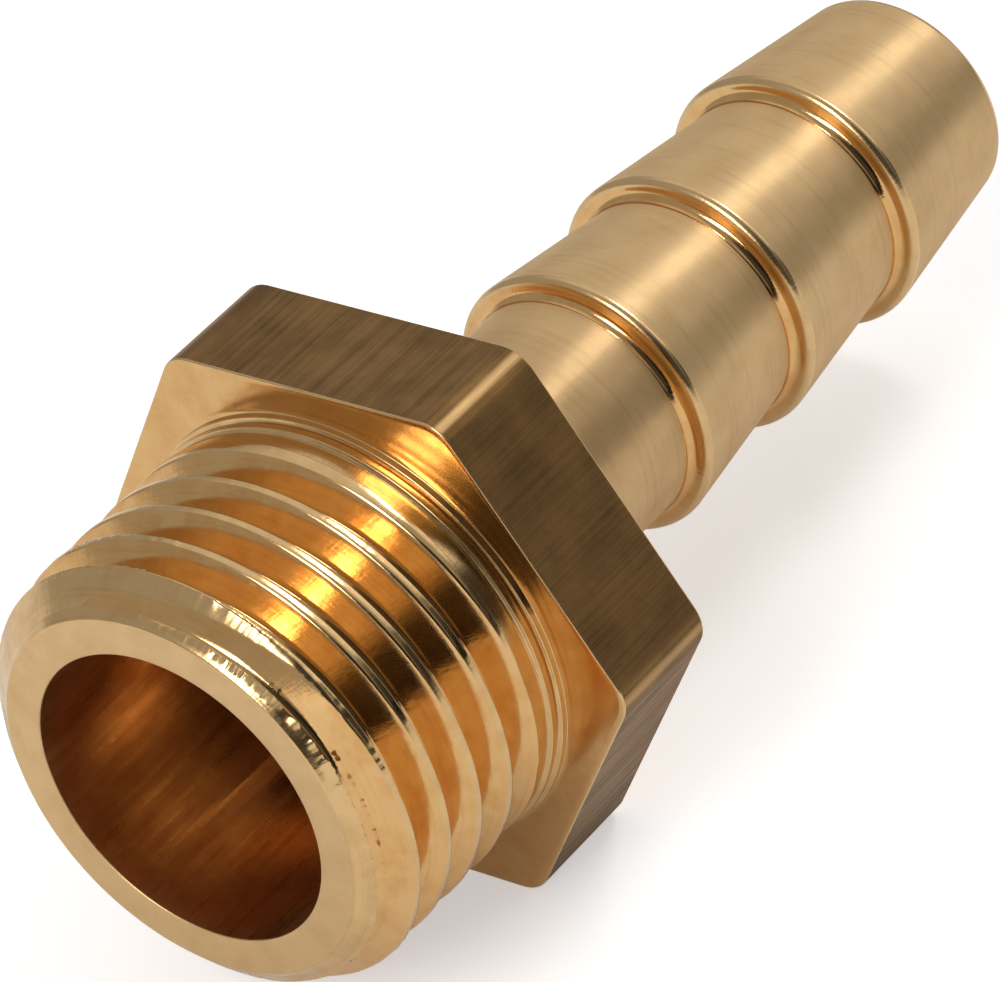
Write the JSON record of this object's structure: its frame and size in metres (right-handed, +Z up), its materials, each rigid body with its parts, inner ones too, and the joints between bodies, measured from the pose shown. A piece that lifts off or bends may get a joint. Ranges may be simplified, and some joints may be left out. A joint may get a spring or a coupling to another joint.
{
  "type": "hose barb tail",
  "caption": "One-piece turned brass pipe fitting: a male parallel pipe thread, a hexagon for the spanner and a barbed tail that a hose pushes onto.",
  "frame": {"origin": "on the fitting's axis, in the hexagon's thread-side face, which seats on the port", "axes": "+X along the axis from the thread towards the hose end, +Z up and square to one flat of the hexagon, +Y completes a right-handed frame"},
  "size_m": [0.0341, 0.017, 0.015],
  "materials": {
    "brass": "machined brass: satin turned cones, brighter thread crests and lips, duller drawn hexagon flats"
  },
  "bodies": {
    "root": {"hose_barb_tail": "brass"}
  },
  "joints": []
}
